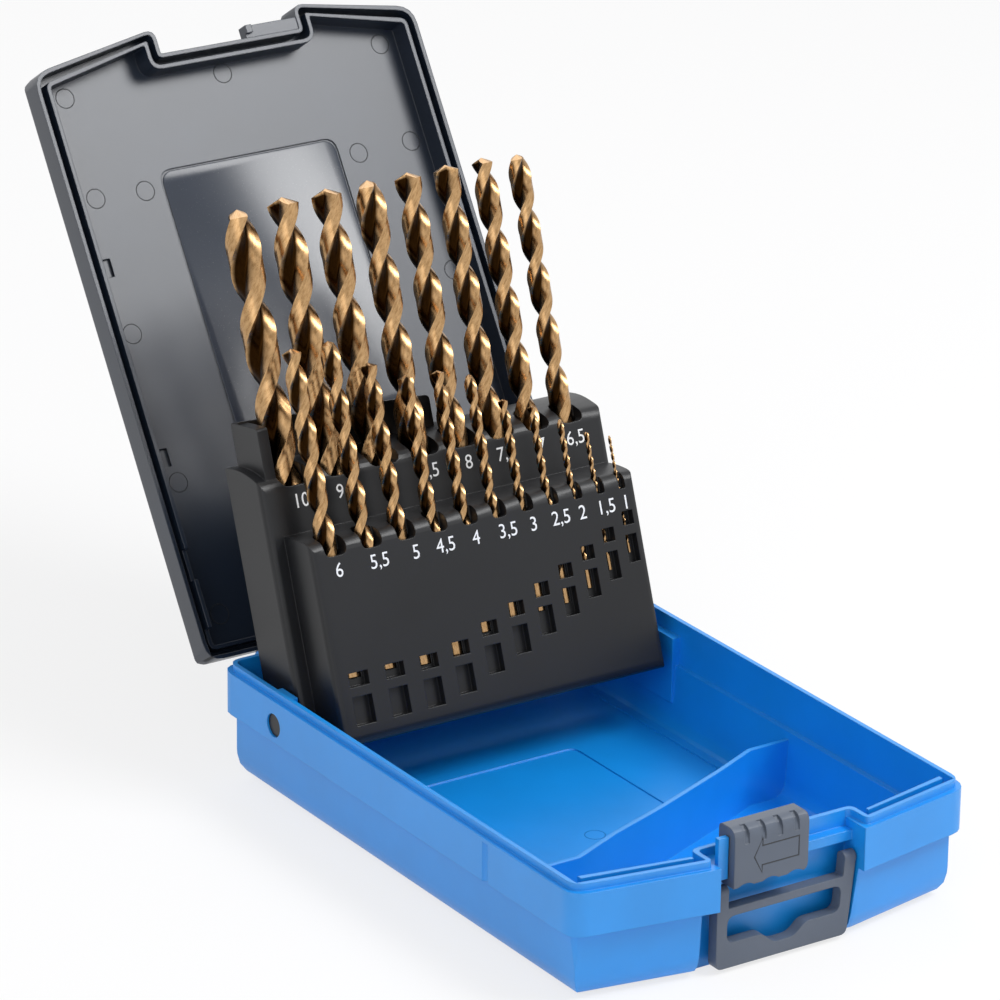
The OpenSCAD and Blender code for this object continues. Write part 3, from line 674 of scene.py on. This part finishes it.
class DRILLCASE_OT_stage(bpy.types.Operator):
    """Set up the pale floor, the soft studio light and the camera."""

    bl_idname = "drill_case.stage"
    bl_label = "Stage"

    def execute(self, context):
        scene = context.scene
        scene.view_settings.view_transform = "Standard"
        self.floor(scene)
        self.world(scene)
        for lamp in LAMPS:
            self.lamp(scene, *lamp)
        self.camera(scene)
        return {"FINISHED"}

    def floor(self, scene):
        """A square floor just under the case."""
        corners = FLOOR_REACH * np.array([[-1, -1], [1, -1], [1, 1], [-1, 1]])
        mesh = bpy.data.meshes.new("studio_floor")
        mesh.from_pydata([(x, y, -FLOOR_DROP) for x, y in corners], [], [(0, 1, 2, 3)])
        mesh.materials.append(floor_material())
        floor = bpy.data.objects.new("studio_floor", mesh)
        scene.collection.objects.link(floor)

    def world(self, scene):
        """Soft white light all round, and a paler white for the camera and for reflections."""
        scene.world = bpy.data.worlds.new("studio")
        scene.world.use_nodes = True
        nodes, links = scene.world.node_tree.nodes, scene.world.node_tree.links
        nodes.clear()
        mix = nodes.new("ShaderNodeMixShader")
        links.new(pale_rays(nodes, links, 1.0), mix.inputs["Fac"])
        for socket, strength in ((1, WORLD_LIGHT), (2, WORLD_PALE)):
            white = nodes.new("ShaderNodeBackground")
            white.inputs["Color"].default_value = (1, 1, 1, 1)
            white.inputs["Strength"].default_value = strength
            links.new(white.outputs[0], mix.inputs[socket])
        output = nodes.new("ShaderNodeOutputWorld")
        links.new(mix.outputs[0], output.inputs["Surface"])

    def lamp(self, scene, name, place, size, power):
        """A square area lamp that points at the case."""
        lamp = bpy.data.lights.new(name, "AREA")
        lamp.size = size
        lamp.energy = power
        obj = bpy.data.objects.new(name, lamp)
        obj.location = place
        obj.rotation_mode = "QUATERNION"
        obj.rotation_quaternion = (Vector(place) - Vector(LAMP_AIM)).to_track_quat("Z", "Y")
        scene.collection.objects.link(obj)

    def camera(self, scene):
        """The photograph's view: from the distance d at azimuth a and elevation e about the
        target, rolled by r, with the principal point shifted to its place in the picture."""
        a, e, r = CAMERA.azimuth, CAMERA.elevation, CAMERA.roll
        back = np.array([np.sin(a) * np.cos(e), -np.cos(a) * np.cos(e), np.sin(e)])
        right = np.cross(-back, [0, 0, 1])
        right /= np.linalg.norm(right)
        up = np.cross(right, -back)
        right, up = right * np.cos(r) + up * np.sin(r), -right * np.sin(r) + up * np.cos(r)
        data = bpy.data.cameras.new("photo_camera")
        data.sensor_width = CAMERA.sensor
        data.lens = CAMERA.sensor * CAMERA.focal / CAMERA.pixels
        data.shift_x = (CAMERA.pixels / 2 - CAMERA.middle[0]) / CAMERA.pixels
        data.shift_y = (CAMERA.middle[1] - CAMERA.pixels / 2) / CAMERA.pixels
        data.clip_start, data.clip_end = 0.05, 20
        camera = bpy.data.objects.new("photo_camera", data)
        place = CAMERA.target + back * CAMERA.distance
        pose = np.vstack([np.column_stack([right, up, back, place]), [0, 0, 0, 1]])
        camera.matrix_world = Matrix(pose.tolist())
        scene.collection.objects.link(camera)
        scene.camera = camera


class DRILLCASE_PT_panel(bpy.types.Panel):
    """Sidebar panel with the sizes, the colours and the steps."""

    bl_label = "Drill bit case"
    bl_idname = "DRILLCASE_PT_panel"
    bl_space_type = "VIEW_3D"
    bl_region_type = "UI"
    bl_category = "Drill case"

    def draw(self, context):
        for group in (colours(), sizes()):
            box = self.layout.box()
            for name in group.__annotations__:
                box.prop(group, name)
        for step in STEPS:
            self.layout.operator(step.bl_idname)


STEPS = (DRILLCASE_OT_mouldings, DRILLCASE_OT_drills, DRILLCASE_OT_numbers, DRILLCASE_OT_lid_face,
         DRILLCASE_OT_catch_arrow, DRILLCASE_OT_tray_marks, DRILLCASE_OT_stage)
CLASSES = (DrillCaseColours, DrillCaseSizes, *STEPS, DRILLCASE_PT_panel)


def register():
    """Register the classes and hang the settings on the scene."""
    for cls in CLASSES:
        bpy.utils.register_class(cls)
    bpy.types.Scene.drill_case_colours = bpy.props.PointerProperty(type=DrillCaseColours)
    bpy.types.Scene.drill_case_sizes = bpy.props.PointerProperty(type=DrillCaseSizes)


def unregister():
    """Take the settings and the classes away again."""
    del bpy.types.Scene.drill_case_colours
    del bpy.types.Scene.drill_case_sizes
    for cls in reversed(CLASSES):
        bpy.utils.unregister_class(cls)


def main():
    register()
    bpy.ops.drill_case.mouldings()
    bpy.ops.drill_case.drills()
    bpy.ops.drill_case.numbers()
    bpy.ops.drill_case.lid_face()
    bpy.ops.drill_case.catch_arrow()
    bpy.ops.drill_case.tray_marks()
    bpy.ops.drill_case.stage()


if __name__ == "__main__":
    main()
